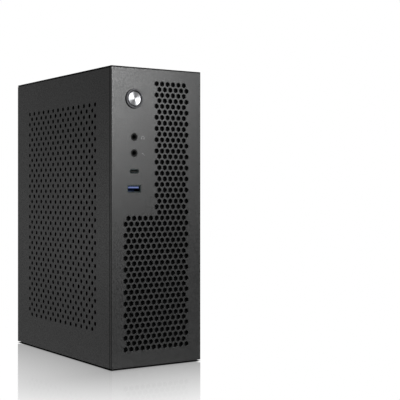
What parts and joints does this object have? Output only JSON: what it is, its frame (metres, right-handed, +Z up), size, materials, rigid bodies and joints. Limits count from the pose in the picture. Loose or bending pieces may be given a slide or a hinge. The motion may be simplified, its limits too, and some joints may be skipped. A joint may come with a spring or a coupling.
{
  "type": "desktop computer tower",
  "caption": "Slim mini-ITX desktop tower: dark folded-metal case with hexagon front mesh, perforated snap-off sides, power button, front ports and working fans inside.",
  "frame": {"origin": "centre of the footprint at desk level", "axes": "+Z up, front with the ports towards -Y, main board on the +X side"},
  "size_m": [0.097, 0.2111, 0.276],
  "materials": {
    "shell": "bead-blasted dark anodised",
    "sheet_metal": "satin black paint",
    "plated_sheet": "nickel plated",
    "screw_metal": "zinc plated",
    "polished_metal": "turned, polished",
    "dark_metal": "satin black anodised",
    "spring_steel": "bright wire",
    "brass": "satin",
    "port_metal": "nickel plated",
    "fin_metal": "bare",
    "heatsink_dark": "black anodised",
    "black_plastic": "moulded",
    "gloss_black": "moulded",
    "blue_plastic": "moulded",
    "board_green": "solder mask",
    "board_black": "solder mask",
    "rubber": "moulded",
    "psu_paint": "satin black",
    "cable_sleeve": "sleeved",
    "cable_jacket": "PVC jacket",
    "drive_metal": "satin"
  },
  "bodies": {
    "chassis": {"front_panel": "shell", "top_panel": "shell", "base_plate": "shell", "rear_panel": "shell", "panel_clips": "black_plastic", "feet": "rubber", "motherboard_tray": "sheet_metal", "m3_screws": "screw_metal", "power_button_housing": "dark_metal", "power_button_spring": "spring_steel", "power_button_nut": "screw_metal", "power_switch": "black_plastic", "front_io_board": "board_green", "front_io_bracket": "sheet_metal", "usb_a_shell": "port_metal", "usb_a_tongue": "blue_plastic", "usb_c_shell": "port_metal", "usb_c_tongue": "black_plastic", "headphone_jack": "gloss_black", "microphone_jack": "gloss_black", "motherboard_pcb": "board_black", "board_standoffs": "brass", "cpu_socket": "port_metal", "processor": "fin_metal", "cooler_heatsink": "fin_metal", "cooler_fan_frame": "black_plastic", "ram_slots": "black_plastic", "ram_modules": "board_green", "board_heatsinks": "heatsink_dark", "pcie_slot": "black_plastic", "atx_connector": "black_plastic", "cpu_power_connector": "black_plastic", "board_headers": "black_plastic", "m2_drive": "board_black", "coin_cell": "port_metal", "rear_usb_ports": "port_metal", "network_jack": "port_metal", "video_ports": "port_metal", "audio_jacks": "gloss_black", "io_shield": "plated_sheet", "slot_covers": "sheet_metal", "psu_case": "psu_paint", "psu_board": "board_green", "psu_fan_frame": "black_plastic", "ac_inlet": "black_plastic", "front_fan_bracket": "sheet_metal", "front_fan_frame": "black_plastic", "fan_screws": "screw_metal", "drive_bracket": "sheet_metal", "ssd_drive": "drive_metal", "power_cables": "cable_sleeve", "signal_cables": "cable_jacket"},
    "left_side": {"left_side_panel": "shell", "left_panel_studs": "screw_metal"},
    "right_side": {"right_side_panel": "shell", "right_panel_studs": "screw_metal"},
    "power_button": {"power_button_cap": "polished_metal"},
    "cooler_fan": {"cooler_fan_rotor": "gloss_black"},
    "psu_fan": {"psu_fan_rotor": "gloss_black"},
    "front_fan": {"front_fan_rotor": "gloss_black"}
  },
  "joints": [
    {"name": "power_button_press", "type": "slide", "parent": "chassis", "child": "power_button", "axis": [0, 1, 0], "range_m": [0, 0.0016], "stiffness_N_per_m": 900, "springref_m": -0.0012, "deforming": ["power_button_spring"]},
    {"name": "left_side_removal", "type": "slide", "parent": "chassis", "child": "left_side", "axis": [-1, 0, 0], "range_m": [0, 0.08]},
    {"name": "right_side_removal", "type": "slide", "parent": "chassis", "child": "right_side", "axis": [1, 0, 0], "range_m": [0, 0.08]},
    {"name": "cooler_fan_spin", "type": "hinge", "parent": "chassis", "child": "cooler_fan", "pos_m": [-0.008, 0.03, 0.187], "axis": [-1, 0, 0], "continuous": true},
    {"name": "psu_fan_spin", "type": "hinge", "parent": "chassis", "child": "psu_fan", "pos_m": [-0.014, 0.0915, 0.02295], "axis": [0, 1, 0], "continuous": true},
    {"name": "front_fan_spin", "type": "hinge", "parent": "chassis", "child": "front_fan", "pos_m": [0, -0.0865, 0.0937], "axis": [0, -1, 0], "continuous": true}
  ]
}
